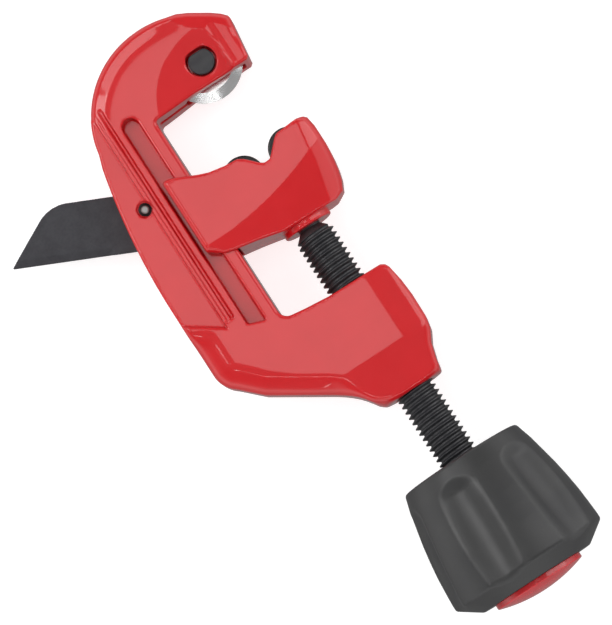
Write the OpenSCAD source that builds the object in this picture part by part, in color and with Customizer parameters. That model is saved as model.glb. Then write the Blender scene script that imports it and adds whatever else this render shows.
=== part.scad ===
// Hand-held pipe cutter: a C-shaped frame with a cutting wheel in its nose, a
// sliding carriage with two rollers, a feed screw with a knob, and a folding
// deburring blade.  The tool lies on its side.  The origin is the cutting point,
// the lowest point of the wheel's edge; +Y runs along the feed screw towards the
// crown, +X from the frame's back towards the open throat, +Z up out of the side.

/* [Throat] */
// Distance from the feed screw's axis to the inner face of the rail
throat_reach = 17; // [15:0.1:22]
// Height of the throat, from the nose's underside to its floor
throat_height = 58.7; // [54:0.1:72]
// How far the cutting wheel stands out of the nose
wheel_reach = 3.7; // [2.5:0.1:4.5]
// Gap between the wheel and the rollers with the jaw as drawn
jaw_gap = 14.6; // [12:0.1:18]
// How far the wheel's edge dips between the rollers when the jaw is shut
nip_depth = 0.8; // [0:0.1:1]

/* [Frame] */
// Thickness of the frame casting
frame_t = 16; // [14:0.1:20]
// Width of the frame's spine, from the rail's inner face to its back
spine_w = 21.3; // [20:0.1:26]
// Radius of the crown's outer curve
crown_r = 24; // [22:0.5:28]
// Height of the crown over the nose's underside
crown_h = 20.4; // [18:0.1:24]
// Thickness of the nose where its two sides are dished
nose_t = 12; // [11:0.1:13.5]
// How far the nose reaches past the screw's axis
nose_x = 11.6; // [11:0.1:14]
// Length of the tapped boss at the foot of the frame
boss_len = 29.3; // [22:0.1:34]
// Diameter of the boss's end
boss_d = 15.6; // [14.5:0.1:18]
// Width of the rail, from the throat to the side slots
rail_w = 3.5; // [3:0.1:5]
// Width of the side slots that take the carriage's lips
slot_w = 4.3; // [4:0.1:6]
// Thickness of the web that the side slots leave
web_t = 8; // [7:0.1:9]
// Depth of the flat recessed panel over the blade
panel_depth = 1.2; // [0.6:0.1:1.6]

/* [Cutting wheel] */
// Diameter of the cutting wheel
wheel_d = 18.8; // [17:0.1:20]
// Width of the wheel's hub
wheel_hub_w = 5.2; // [4:0.1:6]
// Diameter of the wheel pin
wheel_pin_d = 5; // [4:0.1:5.4]
// Diameter of the wheel pin's flatted head
pin_head_d = 6.4; // [6.2:0.1:7]

/* [Rollers] */
// Diameter of a roller
roller_d = 10.3; // [9:0.1:11]
// Length of a roller
roller_len = 14; // [12:0.1:14.4]
// Gap between the two rollers
roller_gap = 2.5; // [2:0.1:4]
// Diameter of a roller pin
roller_pin_d = 4; // [3:0.1:5]

/* [Carriage] */
// Thickness of the carriage over its two cheeks
carriage_t = 22; // [21:0.1:26]
// Height of the carriage from the rollers' axes down to its foot
carriage_drop = 16.35; // [15:0.05:18]
// Length of the carriage's lips past the rail
lip_w = 2.7; // [2:0.1:3]

/* [Feed screw] */
// Outer diameter of the feed screw's thread
screw_d = 10; // [8:0.5:10.5]
// Pitch of the thread
screw_pitch = 1.5; // [1:0.25:2]
// Gap between the frame's boss and the knob, with the jaw as drawn
knob_gap = 19.6; // [17:0.1:25]
// Diameter of the journal that turns in the carriage
journal_d = 5.6; // [4.6:0.1:6]
// Diameter of the pin that keeps the journal in the carriage
keeper_d = 2; // [1.5:0.1:2.4]

/* [Knob] */
// Largest diameter of the knob
knob_d = 41; // [38:0.5:50]
// Diameter of the knob's upper face
knob_top_d = 31.5; // [28:0.5:36]
// Length of the knob
knob_len = 33.4; // [33:0.1:42]
// Number of finger flutes
flute_count = 6; // [4:1:8]
// Diameter of the cap
cap_d = 23.5; // [22.5:0.1:26]

/* [Deburring blade] */
// Width of the blade
blade_w = 14; // [12:0.1:14]
// Distance from the blade's pivot to its point
blade_len = 35.4; // [30:0.1:40]
// Thickness of the blade
blade_t = 1.6; // [1:0.1:1.8]
// Diameter of the blade's pivot pin
blade_pin_d = 3; // [2:0.1:3.4]
// Angle of the open blade, measured up from the tool's back
blade_rise = 25; // [10:1:40]

/* [Hidden] */
$fn = 96;

// Clearances
fit_gap = 0.05;        // radial, between a pin or shaft and its turning bore
slide_gap = 0.3;       // between the carriage and the rail
side_gap = 0.3;        // between a turning piece and its slot's sides
eps = 0.01;            // overlap that keeps a cut from leaving a skin
past = 5;              // how far a cut runs out past the solid
huge = 400;            // larger than the whole tool

// Levels of the frame
rail_x = -throat_reach;
back_x = rail_x - spine_w;
nose_y = wheel_reach;
floor_y = nose_y - throat_height;
boss_y = floor_y - boss_len;
boss_r = boss_d / 2;
frame_z = frame_t / 2;
nose_z = nose_t / 2;
web_z = web_t / 2;

// Crown, back and heel: the crown's arc leans in from the back by crown_lean
crown_lean = 5.3;
crown_c = [back_x + crown_lean + crown_r, nose_y + crown_h - crown_r];
crown_end = 172;
brow = [3.5, nose_y + crown_h - 2.8];
back_bend_y = floor_y + 17;
back_rise = crown_c[1] + crown_r * sin(crown_end) - back_bend_y;
back_step = crown_c[0] + crown_r * cos(crown_end) - back_x;
back_r = (back_rise * back_rise + back_step * back_step) / (2 * back_step);
heel_r = 7;
heel_drop = 0.5;

// Throat, nose and boss
throat_fillet = 2.5;
throat_rise = 1.2;     // how much the throat's floor rises towards the rail
nose_fillet = 1;
nose_rise = 0.3;
nose_slope = 1.7;      // how much the nose's end leans
nose_face_h = 11.7;    // height of the nose's end
dish_r = 20;           // arc that bounds the dished sides of the nose
dish_c = [3.5, nose_y - 6.5];
boss_taper_h = 12;     // height over which the plate rounds off into the boss
boss_taper_r = 18;

// Wheel and its pin
wheel_r = wheel_d / 2;
wheel_pin_r = wheel_pin_d / 2;
wheel_slot_z = wheel_hub_w / 2 + side_gap;
wheel_slot_gap = 0.6;   // leaves a sound wall at the end of the nose
wheel_disc_t = 2;
wheel_edge_t = 0.12;
wheel_bevel = 2.4;
wheel_hub_wall = 1.9;
pin_head_r = pin_head_d / 2;
pin_head_t = 1.8;
pin_flat = 2.55;       // distance from the pin's axis to the head's flat
head_gap = 0.5;        // between the head and its recess
clip_t = 0.8;
clip_w = 1.7;
clip_gap = 0.1;
groove_depth = 0.5;
pin_tail = 1.6;        // how far the pin stands out behind the nose

// Rollers
roller_r = roller_d / 2;
roller_pin_r = roller_pin_d / 2;
roller_x = (roller_d + roller_gap) / 2;
roller_y = -jaw_gap - roller_r;
roller_edge = 0.4;

// Carriage: the pocket for the rollers, the cheeks, and the lips in the side slots
pocket_z = roller_len / 2 + side_gap;
pocket_x = roller_x + roller_r + 0.45;
pocket_floor = roller_y - roller_r - 0.5;
cheek_z = carriage_t / 2;
cheek_top = roller_y + 4.1;
cheek_end = pocket_x + 2.3;
blind_wall = 0.8;      // metal left over the blind end of a roller pin
foot_y = roller_y - carriage_drop;
foot_boss_r = 6.3;
foot_boss_out = 1.5;   // how far the boss stands out under the carriage
facet_angle = 10.3;    // slope of the edge along the carriage's lower facets
facet_y = roller_y - 5.5;
facet_tilt = 23;       // how much the lower facets lean in
carriage_x = rail_x + slide_gap;
channel_z = frame_z + slide_gap;
slot_x1 = rail_x - rail_w;
slot_x0 = slot_x1 - slot_w;
lip_x1 = slot_x1 - slide_gap - 0.1;
lip_x0 = lip_x1 - lip_w;
lip_z = web_z + slide_gap + 0.1;
lip_top = roller_y + 9.05;
lip_foot = foot_y + 5.8;
notch_y = roller_y - 0.25;

// Travel of the carriage, both ways from the jaw as drawn
close_travel = jaw_gap + nip_depth;
open_travel = foot_y - foot_boss_out - floor_y - 0.9;

// Feed screw, the pin that keeps it and the disc that it pushes on
screw_r = screw_d / 2;
thread_depth = 0.6134 * screw_pitch;
journal_r = journal_d / 2;
journal_seat = 6.7;    // how deep the journal reaches into the carriage
journal_end = foot_y + journal_seat;
thrust_t = 1.5;
keeper_r = keeper_d / 2;
keeper_x = journal_r + 0.2;
keeper_y = foot_y + 4.5;
keeper_z0 = -8;
keeper_z1 = 5;
neck_len = 1.8;        // plain neck that shows under the carriage
thread_y1 = foot_y - neck_len - (screw_r - journal_r);
knob_y1 = boss_y - knob_gap;

// Knob, and what is fastened and stored in it
knob_y0 = knob_y1 - knob_len;
knob_r = knob_d / 2;
knob_top_r = knob_top_d / 2;
knob_foot_r = 14.9;
knob_foot_h = 3.8;
knob_edge = 0.6;
shank_y = knob_y1 - 13.4;
wall_y = shank_y - 4;
tail_r = 4;
tail_out = 9;          // how far the screw's tail stands out of the knob's wall
washer_t = 1.5;
washer_r = 8;
nut_flats = 13;
nut_t = 6.5;
flute_r = 9;
flute_depth = 1.6;
flute_lean = atan((knob_r - knob_top_r) / knob_len) + 2.5;
flute_top = 4.5;       // distance from the knob's upper face to a flute's round top
flute_turn = 14.5;     // turn of the first flute from the tool's side
cap_r = cap_d / 2;
cap_rim = 1.3;
cap_dome = 1.9;
cap_wall = 1;
cap_skirt = 4.3;
store_r = cap_r - 0.75;

// Blade: it swings in the frame's mid-plane slot, and folds down into the spine
pivot = [back_x + 7.8, nose_y - 17];
blade_z = blade_t / 2;
blade_back = 5;        // distance from the pivot to the blade's back
blade_cut = blade_w - blade_back;
blade_tip_x = sqrt(blade_len * blade_len - blade_cut * blade_cut);
blade_slope = 52.6;    // slope of the edge that runs back from the point
blade_round = 9;
tang_len = 6;
blade_pin_r = blade_pin_d / 2;
pin_recess = 0.5;
spring_t = 0.35;
spring_r = 3.5;
blade_slot_z = blade_z + spring_t + 0.1;
blade_slot_x = pivot[0] + blade_cut + 0.7;
blade_slot_y1 = pivot[1] + blade_cut + 0.8;
blade_slot_y0 = pivot[1] - blade_tip_x - 1.2;
panel_x = rail_x - 12.3;
panel_y1 = nose_y + 9.5;
panel_y0 = blade_slot_y0 + 0.9;
panel_slope = 0.69;

// ---------------------------------------------------------------- helpers

// Points on an arc about c, from angle a0 to a1, in n steps
function arc(c, r, a0, a1, n) =
    [for (i = [0:n]) c + r * [cos(a0 + (a1 - a0) * i / n), sin(a0 + (a1 - a0) * i / n)]];

// Turns what is drawn along Z to lie along Y
module along_y() {
    rotate([-90, 0, 0]) children();
}

// A plate of the drawn outline, centred on the mid-plane
module plate(half_t) {
    linear_extrude(2 * half_t, center = true) children();
}

// The same cut on both sides of the tool
module both_sides() {
    children();
    mirror([0, 0, 1]) children();
}

// A drilled disc that stands on z = 0
module ring(r_out, r_in, h) {
    difference() {
        cylinder(r = r_out, h = h);
        translate([0, 0, -eps]) cylinder(r = r_in, h = h + 2 * eps);
    }
}

// A disc with a flat on its +Y side
module flatted(r, flat, h) {
    difference() {
        cylinder(r = r, h = h);
        translate([-r, flat, -eps]) cube([2 * r, r, h + 2 * eps]);
    }
}

// ---------------------------------------------------------------- frame

module frame_outline() {
    waist = boss_r + 4.2;
    polygon(concat(
        [[nose_x - nose_slope, nose_y], [nose_x, nose_y + nose_face_h], brow],
        arc(crown_c, crown_r, 76, crown_end, 16),
        arc([back_x + back_r, back_bend_y], back_r, 180 - 0.9 * asin(back_rise / back_r), 180, 6),
        arc([back_x + heel_r, floor_y - heel_drop], heel_r, 180, 232, 6),
        [[-boss_r - 12.7, boss_y + 11.4], [-boss_r - 4.3, boss_y + 5.7]],
        [[-boss_r, boss_y], [boss_r, boss_y], [boss_r + 2.1, boss_y + 8]],
        [[waist, boss_y + boss_taper_h], [waist, floor_y - 8], [boss_r + 3.1, floor_y - 0.8]],
        [[boss_r + 2.3, floor_y], [-5, floor_y]],
        arc([rail_x + throat_fillet, floor_y + throat_rise + throat_fillet],
            throat_fillet, 270, 180, 5),
        arc([rail_x + nose_fillet, nose_y - nose_rise - nose_fillet], nose_fillet, 180, 90, 4)));
}

// Rounds the plate off into the boss's end
module boss_envelope() {
    taper_y = boss_y + boss_taper_h;
    translate([-huge / 2, taper_y, -frame_t]) cube([huge, huge, 2 * frame_t]);
    along_y() translate([0, 0, boss_y])
        cylinder(r1 = boss_r, r2 = boss_taper_r, h = boss_taper_h + eps);
}

// A side slot for the carriage's lips, round at its top and slanted at its foot
module side_slot() {
    slot_r = slot_w / 2;
    slot_top = lip_top + close_travel + 2.5;
    slot_foot = foot_y - foot_boss_out - open_travel + 4;
    translate([0, 0, web_z]) linear_extrude(frame_z)
        polygon([[slot_x0, slot_foot], [slot_x1, slot_foot - 1.6],
                 [slot_x1, slot_top - slot_r], [slot_x0, slot_top - slot_r]]);
    translate([slot_x0 + slot_r, slot_top - slot_r, web_z]) cylinder(r = slot_r, h = frame_z);
}

// The flat recess over the blade, cut out to the frame's back
module side_panel() {
    reach = panel_x - back_x + past;
    translate([0, 0, frame_z - panel_depth]) linear_extrude(frame_z)
        polygon([[panel_x, panel_y0], [panel_x, panel_y1], [panel_x - reach, panel_y1],
                 [panel_x - reach, panel_y0 + panel_slope * reach]]);
}

// The dished side of the nose, kept off the rail
module nose_dish() {
    translate([0, 0, nose_z]) intersection() {
        translate(dish_c) cylinder(r = dish_r, h = frame_z);
        translate([rail_x + nose_fillet, -huge / 2, 0]) cube([huge, huge, frame_z]);
    }
}

module frame() {
    color("firebrick") difference() {
        intersection() {
            plate(frame_z) frame_outline();
            boss_envelope();
        }
        both_sides() side_slot();
        both_sides() side_panel();
        both_sides() nose_dish();
        // fork slot for the wheel, the pin's bore and the recess for its head
        translate([0, wheel_r, -wheel_slot_z])
            cylinder(r = wheel_r + wheel_slot_gap, h = 2 * wheel_slot_z);
        translate([0, wheel_r, -frame_z]) cylinder(r = wheel_pin_r + fit_gap, h = frame_t);
        translate([0, wheel_r, nose_z - pin_head_t])
            flatted(pin_head_r + head_gap, pin_flat + head_gap, frame_z);
        // slot, bore and end recesses for the blade and its pin
        translate([back_x - past, blade_slot_y0, -blade_slot_z])
            cube([blade_slot_x - back_x + past, blade_slot_y1 - blade_slot_y0, 2 * blade_slot_z]);
        translate([pivot[0], pivot[1], -frame_z]) cylinder(r = blade_pin_r, h = frame_t);
        both_sides() translate([pivot[0], pivot[1], frame_z - panel_depth - pin_recess])
            cylinder(r = blade_pin_r + 0.4, h = frame_z);
        // bore for the feed screw
        along_y() translate([0, 0, boss_y - past])
            cylinder(r = screw_r + fit_gap, h = boss_len + 2 * past);
    }
}

// ---------------------------------------------------------------- wheel

module wheel_pin() {
    groove_z = -nose_z - clip_gap - clip_t;
    color("dimgray") translate([0, wheel_r, 0]) difference() {
        union() {
            translate([0, 0, nose_z - pin_head_t]) flatted(pin_head_r, pin_flat, pin_head_t);
            translate([0, 0, -nose_z - pin_tail])
                cylinder(r = wheel_pin_r, h = nose_t + pin_tail - pin_head_t + eps);
        }
        translate([0, 0, groove_z]) ring(pin_head_r, wheel_pin_r - groove_depth, clip_t);
    }
}

module wheel_pin_clip() {
    inner_r = wheel_pin_r - groove_depth;
    color("silver") translate([0, wheel_r, -nose_z - clip_gap - clip_t]) difference() {
        ring(wheel_pin_r + clip_w, inner_r, clip_t);
        translate([-inner_r, -wheel_r, -eps]) cube([2 * inner_r, wheel_r, clip_t + 2 * eps]);
    }
}

// A cutting wheel about the Z axis, its hub standing out on both sides of z = 0
module wheel_blank() {
    hub_z = wheel_hub_w / 2;
    disc_z = wheel_disc_t / 2;
    edge_z = wheel_edge_t / 2;
    bore_r = wheel_pin_r + fit_gap;
    hub_r = wheel_pin_r + wheel_hub_wall;
    bevel_r = wheel_r - wheel_bevel;
    rotate_extrude() polygon([
        [bore_r, -hub_z], [hub_r, -hub_z], [hub_r, -disc_z], [bevel_r, -disc_z],
        [wheel_r, -edge_z], [wheel_r, edge_z],
        [bevel_r, disc_z], [hub_r, disc_z], [hub_r, hub_z], [bore_r, hub_z]]);
}

module cutting_wheel() {
    color("gainsboro") translate([0, wheel_r, 0]) wheel_blank();
}

// ---------------------------------------------------------------- blade

// The blade's length runs along +X from the pivot; its edge is on the +Y side
module blade_outline() {
    corner_x = blade_tip_x - blade_w / tan(blade_slope);
    round_c = [corner_x - blade_round * tan(blade_slope / 2), blade_round - blade_back];
    polygon(concat(
        [[blade_tip_x, blade_cut]],
        arc([0, 0], blade_cut, 90, 180 - acos(tang_len / blade_cut), 6),
        [[-tang_len, -blade_back]],
        arc(round_c, blade_round, -90, blade_slope - 90, 8)));
}

module blade() {
    color("darkslategray") translate([pivot[0], pivot[1], 0]) rotate([0, 0, 180 - blade_rise])
        difference() {
            plate(blade_z) blade_outline();
            translate([0, 0, -blade_t]) cylinder(r = blade_pin_r + fit_gap, h = 2 * blade_t);
        }
}

module blade_pin() {
    end_z = frame_z - panel_depth - 0.2;
    dome = 0.3;
    color("silver") translate([pivot[0], pivot[1], 0]) rotate_extrude() polygon([
        [0, -end_z], [blade_pin_r - dome, -end_z], [blade_pin_r, dome - end_z],
        [blade_pin_r, end_z - dome], [blade_pin_r - dome, end_z], [0, end_z]]);
}

module blade_spring_washer() {
    color("slategray") translate([pivot[0], pivot[1], -blade_slot_z])
        ring(spring_r, blade_pin_r + fit_gap, spring_t);
}

// ---------------------------------------------------------------- carriage

module carriage_outline() {
    crest = [roller_x - 0.9, cheek_top];
    polygon([
        [lip_x0, lip_foot], [lip_x1 + 0.9, foot_y + 3.2], [carriage_x - 0.3, foot_y + 2.5],
        [-pocket_x - 0.1, foot_y + 1.7], [-5, foot_y], [9, foot_y], [cheek_end - 2.9, foot_y + 1.2],
        [cheek_end - 1.7, foot_y + 3.6], [cheek_end - 0.6, foot_y + 7.2],
        [cheek_end, foot_y + 11.4], [cheek_end, roller_y - 0.1],
        [cheek_end - 0.5, roller_y + 3.75], [cheek_end - 2.9, roller_y + 4.45],
        crest, [crest[0] - 1.2, cheek_top - 0.9], [1.4, notch_y + 0.4],
        [0, notch_y], [-1.4, notch_y + 0.6], [1.4 - crest[0], cheek_top - 1], [-crest[0], cheek_top],
        [-roller_x - 2.5, cheek_top + 0.2], [-pocket_x - 1.3, cheek_top + 1],
        [carriage_x - 0.2, lip_top - 2.2], [lip_x1 - 0.5, lip_top - 0.8],
        [lip_x0 + 0.3, lip_top], [lip_x0, lip_top - 0.6]]);
}

// A wedge that leans the carriage's lower side in towards its foot
module lower_facet() {
    translate([0, facet_y, cheek_z]) rotate([0, 0, facet_angle]) rotate([facet_tilt, 0, 0])
        translate([-huge / 2, -huge, 0]) cube([huge, huge, cheek_z]);
}

module carriage() {
    color("firebrick") difference() {
        union() {
            difference() {
                plate(cheek_z) carriage_outline();
                both_sides() lower_facet();
            }
            along_y() translate([0, 0, foot_y - foot_boss_out])
                cylinder(r = foot_boss_r, h = foot_boss_out + 8);
        }
        // channel round the rail, with the lips left standing at its back
        translate([lip_x1, -huge / 2, -channel_z])
            cube([carriage_x - lip_x1, huge, 2 * channel_z]);
        translate([lip_x0 - past, -huge / 2, -lip_z])
            cube([lip_w + past + eps, huge, 2 * lip_z]);
        // pocket for the rollers and the bores for their pins
        translate([-pocket_x, pocket_floor, -pocket_z])
            cube([2 * pocket_x, huge, 2 * pocket_z]);
        for (side = [-1, 1])
            translate([side * roller_x, roller_y, -cheek_z - past])
                cylinder(r = roller_pin_r, h = carriage_t + past - blind_wall);
        // bore for the journal and the thrust disc, and the keeper pin's cross bore
        along_y() translate([0, 0, foot_y - past])
            cylinder(r = journal_r + fit_gap, h = past + journal_seat + fit_gap + thrust_t);
        translate([keeper_x, keeper_y, -cheek_z - past])
            cylinder(r = keeper_r, h = cheek_z + past + keeper_z1);
    }
}

// ---------------------------------------------------------------- rollers

module roller(side) {
    bore_r = roller_pin_r + fit_gap;
    end_z = roller_len / 2;
    color("dimgray") translate([side * roller_x, roller_y, 0]) rotate_extrude() polygon([
        [bore_r, -end_z], [roller_r - roller_edge, -end_z], [roller_r, roller_edge - end_z],
        [roller_r, end_z - roller_edge], [roller_r - roller_edge, end_z], [bore_r, end_z]]);
}

module roller_pin(side) {
    color("silver") translate([side * roller_x, roller_y, -cheek_z])
        cylinder(r = roller_pin_r, h = carriage_t - blind_wall);
}

module roller_rail_side() {
    roller(-1);
}

module roller_open_side() {
    roller(1);
}

module roller_pin_rail_side() {
    roller_pin(-1);
}

module roller_pin_open_side() {
    roller_pin(1);
}

// ---------------------------------------------------------------- feed screw

module thrust_disc() {
    color("silver") along_y() translate([0, 0, journal_end + fit_gap])
        cylinder(r = journal_r + fit_gap, h = thrust_t);
}

module screw_keeper_pin() {
    color("silver") translate([keeper_x, keeper_y, keeper_z0])
        cylinder(r = keeper_r, h = keeper_z1 - keeper_z0);
}

// One ridge of the thread, from its lower root to the next, as (radius, height)
function ridge(y) = [
    [screw_r - thread_depth, y + screw_pitch / 8],
    [screw_r, y + screw_pitch * 7 / 16],
    [screw_r, y + screw_pitch * 9 / 16],
    [screw_r - thread_depth, y + screw_pitch * 7 / 8]];

module feed_screw() {
    turns = floor((thread_y1 - knob_y1) / screw_pitch);
    start_y = thread_y1 - turns * screw_pitch;
    groove_r = keeper_x - keeper_r - 0.1;
    groove_y0 = keeper_y - keeper_r - 0.15;
    groove_y1 = keeper_y + keeper_r + 0.15;
    tip = 0.5;
    tail_y = wall_y - tail_out;
    neck_y = foot_y - neck_len;
    thread = [for (i = [0:turns - 1]) each ridge(start_y + i * screw_pitch)];
    color("darkslategray") along_y() rotate_extrude() polygon(concat(
        [[0, tail_y], [tail_r - tip, tail_y], [tail_r, tail_y + tip], [tail_r, shank_y]],
        [[screw_r, shank_y], [screw_r, start_y - eps]],
        thread,
        [[screw_r, thread_y1], [journal_r, neck_y]],
        [[journal_r, groove_y0], [groove_r, groove_y0], [groove_r, groove_y1]],
        [[journal_r, groove_y1], [journal_r, journal_end - tip]],
        [[journal_r - tip, journal_end], [0, journal_end]]));
}

// ---------------------------------------------------------------- knob

// A straight round cutter that follows the knob's taper down one side
module flute() {
    run = 2 * knob_len;
    translate([knob_top_r, 0, knob_y1]) rotate([0, -flute_lean, 0])
        translate([flute_r - flute_depth, 0, -run]) cylinder(r = flute_r, h = run - flute_top);
}

module knob() {
    color("dimgray") along_y() difference() {
        rotate_extrude() polygon([
            [screw_r, knob_y1], [knob_top_r - knob_edge, knob_y1], [knob_top_r, knob_y1 - knob_edge],
            [knob_top_r + 1.75, knob_y1 - 9.3], [knob_r - 0.6, knob_y1 - 21.3],
            [knob_r, knob_y0 + knob_foot_h + 2], [knob_r, knob_y0 + knob_foot_h],
            [knob_foot_r, knob_y0], [store_r, knob_y0], [store_r, wall_y],
            [tail_r, wall_y], [tail_r, shank_y], [screw_r, shank_y]]);
        for (i = [0:flute_count - 1])
            rotate([0, 0, flute_turn + i * 360 / flute_count]) flute();
    }
}

module knob_washer() {
    color("silver") along_y() translate([0, 0, wall_y - washer_t])
        ring(washer_r, tail_r + 0.2, washer_t);
}

module knob_nut() {
    color("silver") along_y() translate([0, 0, wall_y - washer_t - nut_t]) difference() {
        cylinder(r = nut_flats / sqrt(3), h = nut_t, $fn = 6);
        translate([0, 0, -eps]) cylinder(r = tail_r, h = nut_t + 2 * eps);
    }
}

module spare_wheel() {
    color("gainsboro") along_y()
        translate([0, 0, wall_y - tail_out - 0.4 - wheel_hub_w / 2]) wheel_blank();
}

module knob_cap() {
    dome_r = (cap_r * cap_r + cap_dome * cap_dome) / (2 * cap_dome);
    rim_y = knob_y0 - cap_rim;
    dome_c = [0, rim_y - cap_dome + dome_r];
    half_angle = asin(cap_r / dome_r);
    skirt_r = store_r - fit_gap;
    color("red") along_y() rotate_extrude() polygon(concat(
        arc(dome_c, dome_r, -90, half_angle - 90, 8),
        [[cap_r, knob_y0], [skirt_r, knob_y0], [skirt_r, knob_y0 + cap_skirt]],
        [[skirt_r - cap_wall, knob_y0 + cap_skirt], [skirt_r - cap_wall, knob_y0 + cap_wall]],
        [[0, knob_y0 + cap_wall]]));
}

// ---------------------------------------------------------------- the nodes

frame();
wheel_pin();
wheel_pin_clip();
cutting_wheel();
blade();
blade_pin();
blade_spring_washer();
carriage();
roller_rail_side();
roller_open_side();
roller_pin_rail_side();
roller_pin_open_side();
thrust_disc();
screw_keeper_pin();
feed_screw();
knob();
knob_washer();
knob_nut();
spare_wheel();
knob_cap();
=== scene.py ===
import math

import bmesh
import bpy
import numpy as np
from mathutils import Matrix, Vector


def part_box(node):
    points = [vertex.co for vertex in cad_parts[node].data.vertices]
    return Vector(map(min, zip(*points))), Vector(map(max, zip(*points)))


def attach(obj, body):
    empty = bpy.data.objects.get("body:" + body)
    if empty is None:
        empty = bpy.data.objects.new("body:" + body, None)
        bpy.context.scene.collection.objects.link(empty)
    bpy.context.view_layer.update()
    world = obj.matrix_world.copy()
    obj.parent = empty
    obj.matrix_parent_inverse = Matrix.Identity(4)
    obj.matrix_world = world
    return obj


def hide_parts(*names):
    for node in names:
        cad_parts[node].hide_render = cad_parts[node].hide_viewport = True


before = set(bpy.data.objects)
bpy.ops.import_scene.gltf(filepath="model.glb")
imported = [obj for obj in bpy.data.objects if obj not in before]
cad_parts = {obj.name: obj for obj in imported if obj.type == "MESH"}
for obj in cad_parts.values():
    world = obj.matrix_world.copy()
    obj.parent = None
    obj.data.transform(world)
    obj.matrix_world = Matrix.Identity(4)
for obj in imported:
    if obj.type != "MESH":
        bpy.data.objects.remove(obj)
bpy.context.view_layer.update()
MM = 0.001


# ---------------------------------------------------------------- the camera
# The tool is seen square from above its side, from almost a metre away, with the
# feed screw running down to the right.  The camera stands a little towards the
# knob, so the undersides of the nose and of the carriage show as narrow strips.

look_at = Vector((-11.71, -54.3, 0.0)) * MM
roll = math.radians(32.8)
lean = math.radians(6.2)
camera_distance = 0.917
view_height = 0.1492

towards_camera = Vector((math.sin(math.radians(1.0)), -math.sin(lean), math.cos(lean)))
towards_camera.normalize()
up_hint = Vector((math.sin(roll), math.cos(roll), 0.0))
right_way = up_hint.cross(towards_camera).normalized()
up_way = towards_camera.cross(right_way)
eye = look_at + towards_camera * camera_distance

camera = bpy.data.objects.new("camera", bpy.data.cameras.new("camera"))
camera.matrix_world = Matrix((
    (right_way.x, up_way.x, towards_camera.x, eye.x),
    (right_way.y, up_way.y, towards_camera.y, eye.y),
    (right_way.z, up_way.z, towards_camera.z, eye.z),
    (0.0, 0.0, 0.0, 1.0)))
camera.data.sensor_width = 36.0
camera.data.lens = 36.0 * camera_distance / view_height
camera.data.clip_start = 0.01
bpy.context.scene.collection.objects.link(camera)
bpy.context.scene.camera = camera


# ---------------------------------------------------------------- the frame
# The C-shaped frame is one zinc casting with round edges all over, dished at the
# nose and slotted for the wheel, the blade and the carriage's lips.  It is
# enamelled in glossy red; only the bores are machined.

def smooth_step(low, high, t):
    """0 below low, 1 above high, and a smooth rise between them."""
    t = np.clip((t - low) / (high - low), 0.0, 1.0)
    return t * t * (3.0 - 2.0 * t)


def ramp(t, soft):
    """t where it is positive and 0 where it is negative, with a soft crease."""
    return 0.5 * (t + np.sqrt(t * t + soft * soft))


def meet(a, b, radius):
    """Where two solids overlap, with their common edge rounded to radius."""
    corner = np.hypot(np.maximum(a + radius, 0.0), np.maximum(b + radius, 0.0))
    return corner + np.minimum(np.maximum(a, b), -radius)


def carve(a, b, radius):
    """Solid a with solid b cut out of it, and the cut's edge rounded to radius."""
    return meet(a, -b, radius)


def fuse(a, b, radius):
    """Two solids joined, with a fillet of that radius where they meet."""
    return -meet(-a, -b, radius)


def slab(t, middle, half):
    """Distance from the slab of that half-width about middle."""
    return np.abs(t - middle) - half


def disc(x, y, centre, radius):
    return np.hypot(x - centre[0], y - centre[1]) - radius


def arc(centre, radius, start, end, count):
    """Points on an arc, with its angles in degrees."""
    turns = np.radians(np.linspace(start, end, count))
    return [(centre[0] + radius * math.cos(t), centre[1] + radius * math.sin(t)) for t in turns]


def outline_distance(points, x, y):
    """Signed distance from a closed outline, negative inside it."""
    corners = np.array(points, np.float32)
    nearest = np.full(x.shape, 1e9, np.float32)
    inside = np.zeros(x.shape, bool)
    for (ax, ay), (bx, by) in zip(corners, np.roll(corners, -1, axis=0)):
        ex, ey = bx - ax, by - ay
        length = ex * ex + ey * ey
        if length < 1e-9:
            continue
        t = np.clip(((x - ax) * ex + (y - ay) * ey) / length, 0.0, 1.0)
        nearest = np.minimum(nearest, (x - ax - t * ex) ** 2 + (y - ay - t * ey) ** 2)
        if ey != 0.0:
            crossing = (ay > y) != (by > y)
            inside ^= crossing & (x < ax + ex * (y - ay) / ey)
    return np.where(inside, -1.0, 1.0) * np.sqrt(nearest)


class Template:
    """An outline's signed distance on a fine grid, read back by interpolation."""

    def __init__(self, points, step=0.1, margin=6.0):
        corners = np.array(points)
        self.low = corners.min(0) - margin
        count = np.ceil((corners.max(0) + margin - self.low) / step).astype(int) + 1
        self.step = step
        x = (self.low[0] + step * np.arange(count[0])).astype(np.float32)
        y = (self.low[1] + step * np.arange(count[1])).astype(np.float32)
        self.grid = outline_distance(points, *np.meshgrid(x, y, indexing="ij"))

    def __call__(self, x, y):
        u = np.clip((x - self.low[0]) / self.step, 0, self.grid.shape[0] - 1.001)
        v = np.clip((y - self.low[1]) / self.step, 0, self.grid.shape[1] - 1.001)
        i, j = u.astype(np.int32), v.astype(np.int32)
        p, q = u - i, v - j
        g = self.grid
        return ((g[i, j] * (1 - p) + g[i + 1, j] * p) * (1 - q)
                + (g[i, j + 1] * (1 - p) + g[i + 1, j + 1] * p) * q)


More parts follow.
